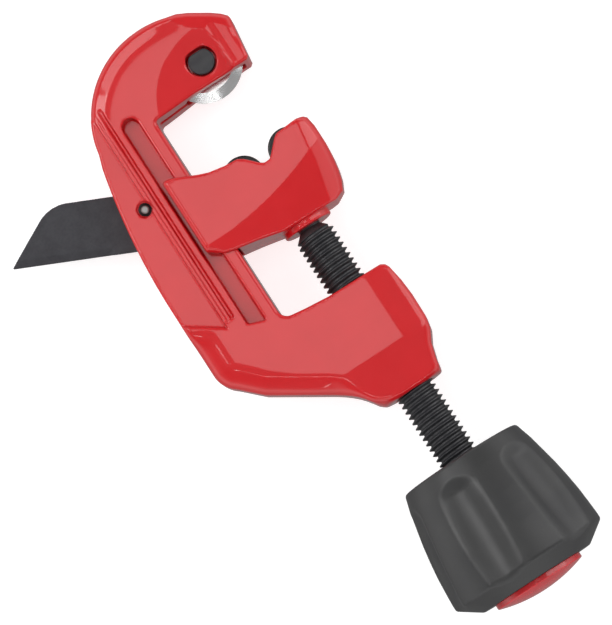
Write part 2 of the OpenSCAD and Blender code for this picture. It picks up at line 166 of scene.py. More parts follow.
def cast(name, solid, low, high, step):
    """A closed mesh of the surface where solid(x, y, z) is zero, in millimetres.

    Each grid cell that the surface crosses gets one point, which is then moved
    onto the surface, and the points of the four cells round a crossed grid edge
    make a face."""
    axes = [np.arange(low[k], high[k] + step, step, dtype=np.float32) for k in range(3)]
    x, y, z = np.meshgrid(*axes, indexing="ij", sparse=True)
    field = np.broadcast_to(solid(x, y, z), [len(a) for a in axes]).astype(np.float32)
    inside = field < 0.0

    total = np.zeros([n - 1 for n in field.shape] + [3], np.float32)
    count = np.zeros([n - 1 for n in field.shape], np.float32)
    crossings = []
    for axis in range(3):
        first = np.take(field, range(field.shape[axis] - 1), axis)
        second = np.take(field, range(1, field.shape[axis]), axis)
        crossed = (first < 0.0) != (second < 0.0)
        share = np.where(crossed, first / np.where(crossed, first - second, 1.0), 0.0)
        others = [k for k in range(3) if k != axis]
        for du in (0, 1):
            for dv in (0, 1):
                at = [slice(None)] * 3
                for k, d in zip(others, (du, dv)):
                    at[k] = slice(d, d + total.shape[k])
                hit = crossed[tuple(at)]
                count += hit
                total[..., axis] += np.where(hit, share[tuple(at)], 0.0)
                for k, d in zip(others, (du, dv)):
                    total[..., k] += hit * float(d)
        crossings.append((axis, others, crossed, first < 0.0))

    cells = np.argwhere(count > 0)
    index = -np.ones(count.shape, np.int64)
    index[tuple(cells.T)] = np.arange(len(cells))
    share = total[tuple(cells.T)] / count[tuple(cells.T)][:, None]
    points = (np.array(low) + (cells + share) * step).astype(np.float64)

    faces = []
    for axis, others, crossed, first_inside in crossings:
        edges = np.argwhere(crossed)
        u, v = others
        keep = (edges[:, u] > 0) & (edges[:, v] > 0)
        keep &= (edges[:, u] < crossed.shape[u] - 1) & (edges[:, v] < crossed.shape[v] - 1)
        edges = edges[keep]
        ring = []
        for du, dv in ((-1, -1), (0, -1), (0, 0), (-1, 0)):
            cell = edges.copy()
            cell[:, u] += du
            cell[:, v] += dv
            ring.append(index[tuple(cell.T)])
        quad = np.stack(ring, 1)
        forward = first_inside[tuple(edges.T)] ^ (axis == 1)
        faces.append(np.where(forward[:, None], quad, quad[:, ::-1]))
    faces = np.concatenate(faces)

    def slope(p, reach):
        """How fast the solid's distance changes along each axis at the points."""
        parts = []
        for k in range(3):
            ahead, behind = p.copy(), p.copy()
            ahead[:, k] += reach
            behind[:, k] -= reach
            parts.append((solid(*ahead.T) - solid(*behind.T)) / (2.0 * reach))
        return np.stack(parts, 1)

    for _ in range(3):
        gradient = slope(points, 0.02)
        steep = np.maximum((gradient ** 2).sum(1), 0.25)
        move = solid(*points.T)[:, None] * gradient / steep[:, None]
        length = np.linalg.norm(move, axis=1, keepdims=True)
        points -= move * np.minimum(1.0, 0.6 * step / np.maximum(length, 1e-9))

    mesh = bpy.data.meshes.new(name)
    mesh.from_pydata((points * MM).tolist(), [], faces.tolist())
    mesh.polygons.foreach_set("use_smooth", [True] * len(mesh.polygons))
    normals = slope(points, 0.05)
    normals /= np.maximum(np.linalg.norm(normals, axis=1, keepdims=True), 1e-9)
    mesh.normals_split_custom_set_from_vertices(normals.tolist())
    mesh.update()
    piece = bpy.data.objects.new(name, mesh)
    bpy.context.scene.collection.objects.link(piece)
    return piece


def box_mm(node):
    """A CAD piece's lowest and highest corners, in millimetres."""
    low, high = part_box(node)
    return low / MM, high / MM


frame_low, frame_high = box_mm("frame")
wheel_low, wheel_high = box_mm("cutting_wheel")
blade_pin_low, blade_pin_high = box_mm("blade_pin")
frame_half = frame_high.z
back_x = frame_low.x
boss_end = frame_low.y
crown_top = frame_high.y
wheel_radius = (wheel_high.y - wheel_low.y) / 2
wheel_centre = (0.0, wheel_radius)
blade_pivot = ((blade_pin_low.x + blade_pin_high.x) / 2, (blade_pin_low.y + blade_pin_high.y) / 2)
rail_face = -17.0
nose_under = 3.7
throat_floor = -55.0
boss_half = 7.8
panel_depth = 1.2
web_half = 4.0
slot_left, slot_right = -24.8, -20.5
panel_edge = -29.3

crown_centre = (back_x + 29.3, crown_top - 24.0)
back_bend = throat_floor + 17.0
outline_points = [(9.4, nose_under), (10.1, nose_under + 0.6), (11.5, nose_under + 10.9)]
outline_points += [(11.35, nose_under + 11.7), (10.2, 16.7), (8.3, 18.2), (3.5, 21.2), (1.0, 22.4)]
outline_points += arc(crown_centre, 24.0, 72.0, 171.0, 110)
outline_points += arc((back_x + 168.0, back_bend), 168.0, 180.0 - 13.2, 180.0, 40)
outline_points += arc((back_x + 7.0, throat_floor - 0.5), 7.0, 180.0, 234.0, 40)
outline_points += [(-30.4, -66.1), (-18.6, -73.7), (-16.6, -75.0), (-14.9, -76.2), (-13.4, -77.4)]
outline_points += [(-12.1, -78.6), (-10.9, -80.0), (-9.9, -81.5), (-9.2, -82.8)]
outline_points += [(-boss_half, boss_end), (boss_half, boss_end)]
outline_points += [(8.4, -80.9), (9.5, -77.1), (11.2, -74.0), (11.8, -71.0), (11.9, -65.0)]
outline_points += [(11.6, -60.8), (10.9, -56.6), (10.4, throat_floor - 0.6), (9.4, throat_floor)]
outline_points += [(-4.9, throat_floor + 0.2), (-11.0, throat_floor + 0.8)]
outline_points += arc((rail_face + 2.6, throat_floor + 3.9), 2.6, 262.0, 180.0, 30)
outline_points += arc((rail_face + 1.0, nose_under - 1.6), 1.0, 180.0, 100.0, 14)
outline_points += [(-12.0, nose_under - 0.4), (-6.0, nose_under)]
outline = Template(outline_points)
panel = Template([(panel_edge, -47.9), (panel_edge, 11.2), (-31.2, 13.6), (-50.0, 13.6),
                  (-50.0, -33.6)])


def frame_side(x, y, edge, over_panel):
    """Height of the frame's side over its mid-plane: the lowest of its faces."""
    low_body = smooth_step(-44.0, -50.0, y)
    along_belly = smooth_step(-34.0, -21.0, x)
    heel_side = low_body * (1.0 - along_belly) * (1.0 - over_panel)
    belly_side = low_body * along_belly * smooth_step(-10.0, -16.0, x)
    belly_side = belly_side * smooth_step(-56.0, -62.0, y + 0.45 * x + 12.0)
    crown_side = smooth_step(2.0, -11.0, x) * smooth_step(-1.0, 6.0, y) * (1.0 - over_panel)
    crown_edge = disc(x, y, crown_centre, 24.0)
    height = frame_half - 0.24 * ramp(crown_edge + 4.0, 0.7) * crown_side
    height = height - 0.07 * np.square(ramp(edge + 6.4, 0.3)) * heel_side
    height = height - 0.6 * ramp(edge + 4.1, 0.6) * belly_side

    # the nose: dished sides, a raised end that leans, and a facet down from the crown
    dish = frame_half - 0.15 * ramp(20.0 - np.hypot(x - 3.5, y - nose_under + 6.5), 0.25)
    end_land = 7.0 - 0.02 * (x - 7.0) + 12.0 * ramp(-10.0 - y, 0.1)
    dish = dish + (end_land - dish) * smooth_step(4.7, 6.1, x)
    dish = dish + 0.22 * smooth_step(4.9, 5.5, x) * smooth_step(7.3, 6.3, x)
    height = fuse(height, dish, 0.4)
    facet = frame_half - 0.35 * (0.77 * (x - 2.6) + 0.64 * (y - 17.0)) + 12.0 * ramp(-10.0 - y, 0.1)
    height = fuse(height, facet, 0.3)

    # the boss: one facet down to its end, and one down to the open side
    height = height - 0.13 * ramp(-72.6 - y, 0.35)
    return height - 0.17 * ramp(x - 5.2, 1.1) * low_body


def frame_solid(x, y, z):
    a = np.abs(z)
    edge = outline(x, y)
    over_panel = smooth_step(0.35, -0.35, panel(x, y))
    height = frame_side(x, y, edge, over_panel)
    throat = np.hypot(np.maximum(rail_face - x, 0.0),
                      np.maximum(np.maximum(y - nose_under, throat_floor - y), 0.0))
    fillet = 0.8 + 0.8 * smooth_step(2.5, 7.0, throat) + 0.2 * over_panel
    solid = meet(edge, a - height, fillet)

    # the boss rounds off to a tube round the screw
    boss = (np.hypot(x, a * 1.1) - (boss_half + 1.5 * ramp(y - boss_end, 0.1))) / 1.8
    solid = meet(solid, boss, 0.8)
    solid = meet(solid, boss_end - y, 0.9)

    # the flat panel over the blade, and the two lines beside it
    solid = carve(solid, meet(panel(x, y), frame_half - panel_depth - a, 0.25), 0.6)
    lines = meet(slab(x, -27.85, 1.45), frame_half - 0.6 - a, 0.2)
    lines = meet(lines, slab(y, -17.0, 30.2), 1.3)
    bead = meet(slab(x, -27.9, 0.45), a - frame_half + 0.1, 0.3)
    solid = carve(solid, meet(lines, -bead, 0.2), 0.3)

    # side slots for the carriage's lips
    slot_mid = (slot_left + slot_right) / 2
    slot_half = (slot_right - slot_left) / 2
    slot_top = 7.2 - slot_half
    foot = (-50.6 - y) - 0.37 * (x - slot_mid)
    slot = np.where(y > slot_top, disc(x, y, (slot_mid, slot_top), slot_half),
                    meet(slab(x, slot_mid, slot_half), foot, 0.5))
    solid = carve(solid, meet(slot, web_half - a, 0.4), 0.45)

    # fork slot for the wheel, with the relief that runs back to the throat's corner
    fork = meet(disc(x, y, wheel_centre, wheel_radius + 0.6), a - 2.9, 0.3)
    relief = meet(meet(slab(x, -9.0, 7.4), a - 1.15, 0.3), slab(y, nose_under - 6.6, 8.0), 0.3)
    solid = carve(solid, fuse(fork, relief, 0.4), 0.25)

    # the pin's bore; the upper side has a recess for its flatted head, the lower
    # side a spot face for its clip
    solid = carve(solid, disc(x, y, wheel_centre, 2.6), 0.15)
    head = meet(disc(x, y, wheel_centre, 3.72), y - wheel_centre[1] - 3.1, 0.6)
    solid = carve(solid, meet(head, 4.15 - z, 0.1), 0.3)
    solid = carve(solid, meet(disc(x, y, wheel_centre, 4.9), z + 6.02, 0.2), 0.3)

    # slot, bore and end recesses for the blade
    slit = meet(meet(slab(y, -26.1, 22.6), x + 20.8, 0.8), a - 1.25, 0.15)
    solid = carve(solid, slit, 0.35)
    solid = carve(solid, disc(x, y, blade_pivot, 1.52), 0.1)
    socket = meet(disc(x, y, blade_pivot, 1.95), frame_half - panel_depth - 0.6 - a, 0.1)
    solid = carve(solid, socket, 0.2)

    # bore for the feed screw
    bore = np.hypot(x, z) - 5.05
    solid = carve(solid, meet(bore, y + 45.0, 0.1), 0.35)
    return solid


def noise(nodes, links, scale, detail, source, distortion=0.0):
    """A noise texture fed with the piece's own coordinates."""
    texture = nodes.new("ShaderNodeTexNoise")
    texture.inputs["Scale"].default_value = scale
    texture.inputs["Detail"].default_value = detail
    texture.inputs["Distortion"].default_value = distortion
    links.new(source, texture.inputs["Vector"])
    return texture.outputs["Fac"]


def spread(nodes, links, source, low, high, start=0.35, end=0.65):
    """Maps a texture's middle range onto low to high."""
    mapper = nodes.new("ShaderNodeMapRange")
    for name, value in (("From Min", start), ("From Max", end), ("To Min", low), ("To Max", high)):
        mapper.inputs[name].default_value = value
    links.new(source, mapper.inputs["Value"])
    return mapper.outputs["Result"]


def blank_finish(name, roughness, **sockets):
    """A material with its shader's own sockets set, and its node tree to add to."""
    material = bpy.data.materials.new(name)
    material.use_nodes = True
    tree = material.node_tree
    shader = tree.nodes["Principled BSDF"]
    shader.inputs["Roughness"].default_value = roughness
    for socket, value in sockets.items():
        shader.inputs[socket.replace("_", " ")].default_value = value
    place = tree.nodes.new("ShaderNodeTexCoord").outputs["Object"]
    return material, tree.nodes, tree.links, shader, place


def two_tone(nodes, links, shader, factor, first, second):
    """Colours the shader between two tones by a texture."""
    mix = nodes.new("ShaderNodeMix")
    mix.data_type = "RGBA"
    mix.inputs["A"].default_value = (*first, 1.0)
    mix.inputs["B"].default_value = (*second, 1.0)
    links.new(factor, mix.inputs["Factor"])
    links.new(mix.outputs["Result"], shader.inputs["Base Color"])


def relief(nodes, links, shader, height, depth, under=None):
    """Adds bumps of that depth, in metres, on top of any under them."""
    bump = nodes.new("ShaderNodeBump")
    bump.inputs["Strength"].default_value = 1.0
    bump.inputs["Distance"].default_value = depth
    links.new(height, bump.inputs["Height"])
    if under is not None:
        links.new(under, bump.inputs["Normal"])
    links.new(bump.outputs["Normal"], shader.inputs["Normal"])
    return bump.outputs["Normal"]


def red_enamel():
    """Thick glossy enamel: a faint orange peel, a few nibs, slightly uneven gloss."""
    material, nodes, links, shader, place = blank_finish(
        "red_enamel", 0.35, Coat_Weight=1.0, Coat_Roughness=0.07, Coat_IOR=1.5,
        Specular_IOR_Level=0.15)
    clouds = spread(nodes, links, noise(nodes, links, 90.0, 3.0, place), 0.0, 1.0)
    two_tone(nodes, links, shader, clouds, (0.60, 0.0090, 0.0130), (0.57, 0.0075, 0.0110))
    gloss = spread(nodes, links, noise(nodes, links, 260.0, 4.0, place), 0.30, 0.42)
    links.new(gloss, shader.inputs["Roughness"])
    peel = relief(nodes, links, shader, noise(nodes, links, 700.0, 2.0, place), 0.000003)
    nibs = spread(nodes, links, noise(nodes, links, 2600.0, 0.0, place), 0.0, 1.0, 0.74, 0.80)
    skin = relief(nodes, links, shader, nibs, 0.000004, peel)
    links.new(skin, shader.inputs["Coat Normal"])
    return material


enamel = red_enamel()
casting = cast("frame_casting", frame_solid, (back_x - 1.0, boss_end - 1.0, -frame_half - 1.0),
               (13.2, crown_top + 1.0, frame_half + 1.0), 0.42)
casting.data.materials.append(enamel)
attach(casting, "frame_body")
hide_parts("frame")


# ---------------------------------------------------------------- the wheel's pin and clip
# The wheel turns on a shouldered steel pin, blacked all over.  The flat on its
# head keeps it from turning in the nose, and a zinc-plated clip holds its tail.

def brushed(name, colour, darker, roughness, along=(1.0, 1.0, 1.0), metallic=1.0, grain=2500.0,
            depth=0.000003, **sockets):
    """Bare or plated metal with fine tool marks drawn out along the long axis."""
    material, nodes, links, shader, place = blank_finish(
        name, roughness, Metallic=metallic, **sockets)
    stretch = nodes.new("ShaderNodeMapping")
    stretch.inputs["Scale"].default_value = along
    links.new(place, stretch.inputs["Vector"])
    marks = noise(nodes, links, grain, 3.0, stretch.outputs["Vector"])
    stains = spread(nodes, links, noise(nodes, links, 320.0, 3.0, place), 0.0, 1.0)
    two_tone(nodes, links, shader, stains, colour, darker)
    links.new(spread(nodes, links, marks, roughness * 0.8, roughness * 1.25),
              shader.inputs["Roughness"])
    relief(nodes, links, shader, marks, depth)
    return material


black_steel = brushed("black_steel", (0.055, 0.055, 0.058), (0.040, 0.040, 0.044), 0.42,
                      metallic=0.35)
zinc_steel = brushed("zinc_steel", (0.62, 0.64, 0.66), (0.52, 0.54, 0.56), 0.28)
pin_low, pin_high = box_mm("wheel_pin")
clip_low, clip_high = box_mm("wheel_pin_clip")
pin_shank = 2.5
pin_head_radius = 3.2
pin_flat = 2.55
pin_head_under = 4.2
groove_floor = 2.0
clip_mouth_half = 1.7
lug_hole = (2.1, wheel_centre[1] - 3.0)
lug_hole_radius = 0.55


def pin_solid(x, y, z):
    around = (x, y, wheel_centre)
    head = meet(disc(*around, pin_head_radius), y - wheel_centre[1] - pin_flat, 0.25)
    head = meet(head, np.abs(z - (pin_head_under + pin_high.z) / 2)
                - (pin_high.z - pin_head_under) / 2, 0.22)
    shank = meet(disc(*around, pin_shank), slab(z, (pin_low.z + 5.0) / 2, (5.0 - pin_low.z) / 2), 0.3)
    pin = fuse(head, shank, 0.1)
    groove = meet(slab(z, (clip_low.z + clip_high.z) / 2, (clip_high.z - clip_low.z) / 2),
                  groove_floor - np.hypot(x, y - wheel_centre[1]), 0.05)
    return carve(pin, groove, 0.08)


def clip_solid(x, y, z):
    ring = meet(disc(x, y, wheel_centre, (clip_high.x - clip_low.x) / 2),
                -disc(x, y, wheel_centre, groove_floor), 0.1)
    mouth = meet(slab(x, 0.0, clip_mouth_half), y - wheel_centre[1], 0.1)
    ring = carve(ring, mouth, 0.3)
    lugs = disc(np.abs(x), y, lug_hole, lug_hole_radius)
    ring = carve(ring, lugs, 0.2)
    return meet(ring, slab(z, (clip_low.z + clip_high.z) / 2, (clip_high.z - clip_low.z) / 2), 0.15)


def around_box(node, spare=0.4):
    low, high = box_mm(node)
    return tuple(v - spare for v in low), tuple(v + spare for v in high)


wheel_pin = cast("wheel_pin_blacked", pin_solid, *around_box("wheel_pin"), 0.16)
wheel_pin.data.materials.append(black_steel)
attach(wheel_pin, "frame_body")
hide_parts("wheel_pin")

clip = cast("wheel_pin_clip_plated", clip_solid, *around_box("wheel_pin_clip"), 0.13)
clip.data.materials.append(zinc_steel)
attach(clip, "frame_body")
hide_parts("wheel_pin_clip")


# ---------------------------------------------------------------- the cutting wheel
# A hardened steel disc, turned and ground bright, with a hub on both sides and a
# double bevel that ends in the cutting edge.

def rounded(section, steps=5):
    """A turned section's corners (radius, height, rounding) with their arcs filled in."""
    points = []
    for i, (r, h, rounding) in enumerate(section):
        if rounding <= 0.0:
            points.append((r, h))
            continue
        corner = Vector((r, h))
        back = (Vector(section[i - 1][:2]) - corner).normalized()
        ahead = (Vector(section[(i + 1) % len(section)][:2]) - corner).normalized()
        half = back.angle(ahead) / 2
        centre = corner + (back + ahead).normalized() * rounding / math.sin(half)
        start = corner + back * rounding / math.tan(half) - centre
        end = corner + ahead * rounding / math.tan(half) - centre
        sweep = start.angle_signed(end)
        for k in range(steps + 1):
            turned_arm = start.copy()
            turned_arm.rotate(Matrix.Rotation(-sweep * k / steps, 2))
            points.append(tuple(centre + turned_arm))
    return points


def shade_by_edge(piece, angle=32.0):
    """Smooth shading that keeps flats flat and true edges crisp."""
    piece.data.polygons.foreach_set("use_smooth", [True] * len(piece.data.polygons))
    piece.data.set_sharp_from_angle(angle=math.radians(angle))
    even = piece.modifiers.new("even_shading", "WEIGHTED_NORMAL")
    even.keep_sharp = True


def new_piece(name, bm):
    bmesh.ops.remove_doubles(bm, verts=bm.verts, dist=0.000001)
    bmesh.ops.recalc_face_normals(bm, faces=bm.faces)
    mesh = bpy.data.meshes.new(name)
    bm.to_mesh(mesh)
    bm.free()
    piece = bpy.data.objects.new(name, mesh)
    bpy.context.scene.collection.objects.link(piece)
    return piece


def revolve(bm, section, place, sides, closed=True):
    """Adds the surface of a section, in (radius, height), turned through a circle.

    place(r, turn, h) gives the point in millimetres."""
    rings = []
    for r, h in section:
        count = 1 if r < 1e-6 else sides
        rings.append([bm.verts.new(Vector(place(r, math.tau * k / sides, h)) * MM)
                      for k in range(count)])
    pairs = list(zip(rings, rings[1:]))
    if closed and len(rings[0]) > 1 and len(rings[-1]) > 1:
        pairs.append((rings[-1], rings[0]))
    for lower, upper in pairs:
        for k in range(sides):
            corners = [lower[k % len(lower)], lower[(k + 1) % len(lower)],
                       upper[(k + 1) % len(upper)], upper[k % len(upper)]]
            corners = list(dict.fromkeys(corners))
            if len(corners) > 2:
                bm.faces.new(corners)


def turned_about_z(name, section, centre, sides=96, steps=5):
    bm = bmesh.new()
    revolve(bm, rounded(section, steps), lambda r, t, h: (
        centre[0] + r * math.cos(t), centre[1] + r * math.sin(t), h), sides)
    piece = new_piece(name, bm)
    shade_by_edge(piece)
    return piece


def turned_about_y(name, section, sides=96, steps=5):
    bm = bmesh.new()
    revolve(bm, rounded(section, steps), lambda r, t, h: (
        r * math.sin(t), h, r * math.cos(t)), sides)
    piece = new_piece(name, bm)
    shade_by_edge(piece)
    return piece


def mirrored(half_section):
    """A section that is the same above and below height 0, from its upper half."""
    return half_section + [(r, -h, b) for r, h, b in reversed(half_section)]


wheel_hub = 2.6
wheel_bore = 2.55
hub_radius = 4.4
disc_half = 1.0
bevel_from = wheel_radius - 2.4
wheel_section = mirrored([
    (wheel_bore, wheel_hub, 0.12), (hub_radius, wheel_hub, 0.2), (hub_radius, disc_half, 0.3),
    (bevel_from, disc_half, 0.15), (wheel_radius, 0.06, 0.0)])
wheel_steel = brushed("wheel_steel", (0.95, 0.96, 0.96), (0.92, 0.93, 0.93), 0.2, metallic=0.9,
                      grain=350.0, depth=0.0000002)
wheel = turned_about_z("cutting_wheel_ground", wheel_section, wheel_centre, sides=144)
wheel.data.materials.append(wheel_steel)
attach(wheel, "wheel")
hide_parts("cutting_wheel")


# ---------------------------------------------------------------- the blade, its pin and washer
# The deburring blade is blanked from strip, ground to an edge on one side and
# blacked.  It swings on a bright riveted pin, and a spring washer holds it stiff.

rise = math.radians(155.0)
blade_half = 0.8
blade_back_side, blade_edge_side = 5.0, 9.0
tip_x = 34.2
slope = math.radians(52.6)
tip_round = 9.0
corner_x = tip_x - (blade_back_side + blade_edge_side) / math.tan(slope)
round_centre = (corner_x - tip_round * math.tan(slope / 2), tip_round - blade_back_side)
blade_points = [(tip_x, blade_edge_side)]
blade_points += arc((0.0, 0.0), blade_edge_side, 90.0, 180.0 - math.degrees(math.acos(6.0 / 9.0)), 20)
blade_points += [(-6.0, -blade_back_side)]
blade_points += arc(round_centre, tip_round, -90.0, math.degrees(slope) - 90.0, 30)
blade_outline = Template(blade_points, margin=3.0)


def blade_solid(x, y, z):
    """The blade in its own directions: u along it from the pivot, v towards its edge."""
    dx, dy = x - blade_pivot[0], y - blade_pivot[1]
    u = dx * math.cos(rise) + dy * math.sin(rise)
    v = -dx * math.sin(rise) + dy * math.cos(rise)
    ground = 0.3 * ramp(v - 7.2, 0.05) * smooth_step(9.0, 10.0, u)
    solid = meet(blade_outline(u, v), np.abs(z) - blade_half + ground, 0.12)
    return carve(solid, np.hypot(u, v) - 1.55, 0.1)


blade_steel = brushed("blade_steel", (0.044, 0.043, 0.050), (0.036, 0.035, 0.041), 0.5,
                      metallic=0.3, grain=1500.0)
blade = cast("blade_blacked", blade_solid, *around_box("blade"), 0.3)
blade.data.materials.append(blade_steel)
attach(blade, "blade")
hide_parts("blade")

bright_steel = brushed("bright_steel", (0.66, 0.65, 0.63), (0.50, 0.49, 0.47), 0.32)


def paint_shade_beyond(material, centre, radius, soft, tone):
    """Paints shade onto a finish beyond a radius about a pin's axis: a dark ring that stands in for the
    shadow in the recess round the pin's end.
    """
    nodes, links = material.node_tree.nodes, material.node_tree.links
    shader = nodes["Principled BSDF"]
    below = shader.inputs["Base Color"].links[0].from_socket
    place = nodes.new("ShaderNodeTexCoord").outputs["Object"]
    shift = nodes.new("ShaderNodeVectorMath")
    shift.operation = "SUBTRACT"
    shift.inputs[1].default_value = (centre[0] * MM, centre[1] * MM, 0.0)
    links.new(place, shift.inputs[0])
    flat = nodes.new("ShaderNodeVectorMath")
    flat.operation = "MULTIPLY"
    flat.inputs[1].default_value = (1.0, 1.0, 0.0)
    links.new(shift.outputs["Vector"], flat.inputs[0])
    length = nodes.new("ShaderNodeVectorMath")
    length.operation = "LENGTH"
    links.new(flat.outputs["Vector"], length.inputs[0])
    painted_shade_mask = spread(nodes, links, length.outputs["Value"], 0.0, 1.0, (radius - soft) * MM,
                  (radius + soft) * MM)
    mix = nodes.new("ShaderNodeMix")
    mix.data_type = "RGBA"
    mix.inputs["B"].default_value = (*tone, 1.0)
    links.new(painted_shade_mask, mix.inputs["Factor"])
    links.new(below, mix.inputs["A"])
    links.new(mix.outputs["Result"], shader.inputs["Base Color"])


rivet_steel_with_painted_shade = brushed("rivet_steel_with_painted_shade", (0.42, 0.41, 0.40), (0.30, 0.29, 0.28), 0.38, metallic=0.8)
# Painted shade: beyond 0.95 mm the pin's flared end is coloured near black, for the shadow in the socket
# round it.
paint_shade_beyond(rivet_steel_with_painted_shade, blade_pivot, 0.95, 0.12, (0.012, 0.010, 0.010))
rivet_end = blade_pin_high.z
blade_pin = turned_about_z("blade_pin_riveted", [
    (0.0, -rivet_end, 0.0), (0.7, -rivet_end, 0.15), (1.0, 0.3 - rivet_end, 0.1),
    (1.75, 0.45 - rivet_end, 0.15), (1.75, 0.8 - rivet_end, 0.1), (1.5, 1.0 - rivet_end, 0.1),
    (1.5, rivet_end - 1.0, 0.1), (1.75, rivet_end - 0.8, 0.1), (1.75, rivet_end - 0.45, 0.15),
    (1.0, rivet_end - 0.3, 0.1), (0.7, rivet_end, 0.15), (0.0, rivet_end, 0.0)],
    blade_pivot, sides=48)
blade_pin.data.materials.append(rivet_steel_with_painted_shade)
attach(blade_pin, "frame_body")
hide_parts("blade_pin")

washer_low, washer_high = box_mm("blade_spring_washer")
spring_washer = turned_about_z("blade_spring_washer_bright", [
    (1.55, washer_low.z, 0.08), (3.5, washer_low.z, 0.08), (3.5, washer_high.z, 0.08),
    (1.55, washer_high.z, 0.08)], blade_pivot, sides=64, steps=3)
spring_washer.data.materials.append(bright_steel)
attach(spring_washer, "frame_body")
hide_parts("blade_spring_washer")


# ---------------------------------------------------------------- the carriage
# A zinc casting that slides on the frame's rail: lips at its back run in the side
# slots, two cheeks hold the rollers, and the screw pushes in its foot boss.

carriage_low, carriage_high = box_mm("carriage")
roller_low, roller_high = box_mm("roller_open_side")
cheek = carriage_high.z
boss_under = 1.5
foot = carriage_low.y + boss_under
lip_back = carriage_low.x
roller_radius = (roller_high.x - roller_low.x) / 2
roller_x = (roller_high.x + roller_low.x) / 2
roller_y = (roller_high.y + roller_low.y) / 2
roller_half = roller_high.z
cheek_end = carriage_high.x
cheek_top = roller_y + 4.1
notch_y = roller_y - 0.25
lip_top = carriage_high.y
pocket_x = roller_x + roller_radius + 0.45

carriage_points = [(lip_back, foot + 5.8), (-20.1, foot + 3.3), (rail_face, foot + 2.5)]
carriage_points += [(-12.0, foot + 1.6), (-8.0, foot + 0.7), (-5.0, foot), (9.0, foot)]
carriage_points += [(cheek_end - 2.7, foot + 1.2), (cheek_end - 1.5, foot + 3.6)]
carriage_points += [(cheek_end - 0.8, foot + 6.2), (cheek_end - 0.3, foot + 9.2), (cheek_end, foot + 12.4)]
carriage_points += [(cheek_end, roller_y + 1.0), (cheek_end - 0.4, roller_y + 3.5)]
carriage_points += [(cheek_end - 1.2, roller_y + 4.25), (cheek_end - 2.9, roller_y + 4.5)]
carriage_points += [(8.6, roller_y + 4.25), (roller_x - 0.7, cheek_top - 0.05), (4.6, cheek_top - 0.75)]
carriage_points += [(3.4, roller_y + 2.1), (1.9, roller_y + 0.55), (1.0, notch_y), (-0.5, notch_y - 0.05)]
carriage_points += [(-1.5, roller_y + 0.4), (-2.8, roller_y + 1.8), (-4.1, cheek_top - 1.0)]
carriage_points += [(-5.4, cheek_top - 0.15), (-roller_x - 2.5, cheek_top + 0.15)]
carriage_points += [(-pocket_x - 0.8, cheek_top + 0.9), (-15.4, cheek_top + 1.9)]
carriage_points += [(-18.2, lip_top - 1.7), (-20.6, lip_top - 0.5)]
carriage_points += [(-22.0, lip_top), (lip_back + 0.4, lip_top), (lip_back, lip_top - 0.5)]
carriage_outline = Template(carriage_points)


def carriage_side(x, y):
    """Height of the carriage's side over the mid-plane."""
    height = cheek + 0.0 * (x + y)
    brink = -29.5 + 0.0067 * np.square(np.maximum(x + 20.0, 0.0))
    height = height - 0.424 * ramp(brink - y, 0.12) / np.sqrt(1.0 + np.square(0.0134 * (x + 20.0)))
    end_ridge = 10.0 + np.where(y < -26.4, 0.25, 0.16) * (y + 26.4)
    return height - 0.62 * ramp(x - end_ridge, 0.25)


def carriage_solid(x, y, z):
    a = np.abs(z)
    edge = carriage_outline(x, y)
    fillet = 0.6 + 0.7 * smooth_step(-20.0, -22.0, x) + 0.9 * smooth_step(9.0, 13.0, x)
    solid = meet(edge, (a - carriage_side(x, y)) / 1.06, fillet)
    boss = meet(np.hypot(x, z) - 6.3, slab(y, foot + 3.0, 3.0 + boss_under), 0.5)
    solid = fuse(solid, boss, 0.3)

    # channel round the rail, with the lips left standing at its back
    solid = carve(solid, meet(slab(x, -18.8, 2.1), a - 8.3, 0.2), 0.2)
    solid = carve(solid, meet(x + 20.8, a - 4.4, 0.2), 0.2)

    # pocket for the rollers and the bores for their pins, blind on the upper side
    pocket = meet(meet(slab(x, 0.0, pocket_x), roller_y - roller_radius - 0.5 - y, 0.6),
                  a - roller_half - 0.3, 0.3)
    solid = carve(solid, pocket, 0.3)
    bores = meet(disc(np.abs(x), y, (roller_x, roller_y), 2.02), z - cheek + 0.8, 0.1)
    solid = carve(solid, bores, 0.25)

    # bores for the journal and for the keeper pin
    journal = meet(np.hypot(x, z) - 2.85, y + 27.8, 0.1)
    solid = carve(solid, journal, 0.25)
    return carve(solid, meet(disc(x, y, (3.0, foot + 4.5), 1.01), z - 5.0, 0.1), 0.2)


slide = cast("carriage_casting", carriage_solid, *around_box("carriage", 1.0), 0.4)
slide.data.materials.append(enamel)
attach(slide, "carriage")
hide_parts("carriage")


# ---------------------------------------------------------------- the rollers and their pins
# Two hardened steel rollers, turned and left dark from the heat treatment, run on
# bright dowel pins pressed in from the lower side.

roller_steel = brushed("roller_steel", (0.060, 0.062, 0.062), (0.040, 0.042, 0.042), 0.34,
                       along=(1.0, 1.0, 0.1), grain=1800.0)
for side_name, side in (("rail_side", -1.0), ("open_side", 1.0)):
    centre = (side * roller_x, roller_y)
    roller = turned_about_z("roller_" + side_name + "_turned", mirrored([
        (2.05, roller_half, 0.15), (3.6, roller_half, 0.1), (3.8, roller_half - 0.2, 0.1),
        (roller_radius, roller_half - 0.2, 0.4)]), centre)
    roller.data.materials.append(roller_steel)
    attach(roller, "roller_" + side_name)
    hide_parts("roller_" + side_name)

    dowel_low, dowel_high = box_mm("roller_pin_" + side_name)
    dowel = turned_about_z("roller_pin_" + side_name + "_dowel", [
        (0.0, dowel_low.z, 0.0), (2.0, dowel_low.z, 0.35), (2.0, dowel_high.z, 0.35),
        (0.0, dowel_high.z, 0.0)], centre, sides=64)
    dowel.data.materials.append(bright_steel)
    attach(dowel, "carriage")
    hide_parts("roller_pin_" + side_name)


# ---------------------------------------------------------------- the thrust disc and keeper pin
# A hardened disc in the bottom of the carriage's bore takes the screw's push, and
# a dowel across the bore runs in the screw's groove and draws the carriage back.

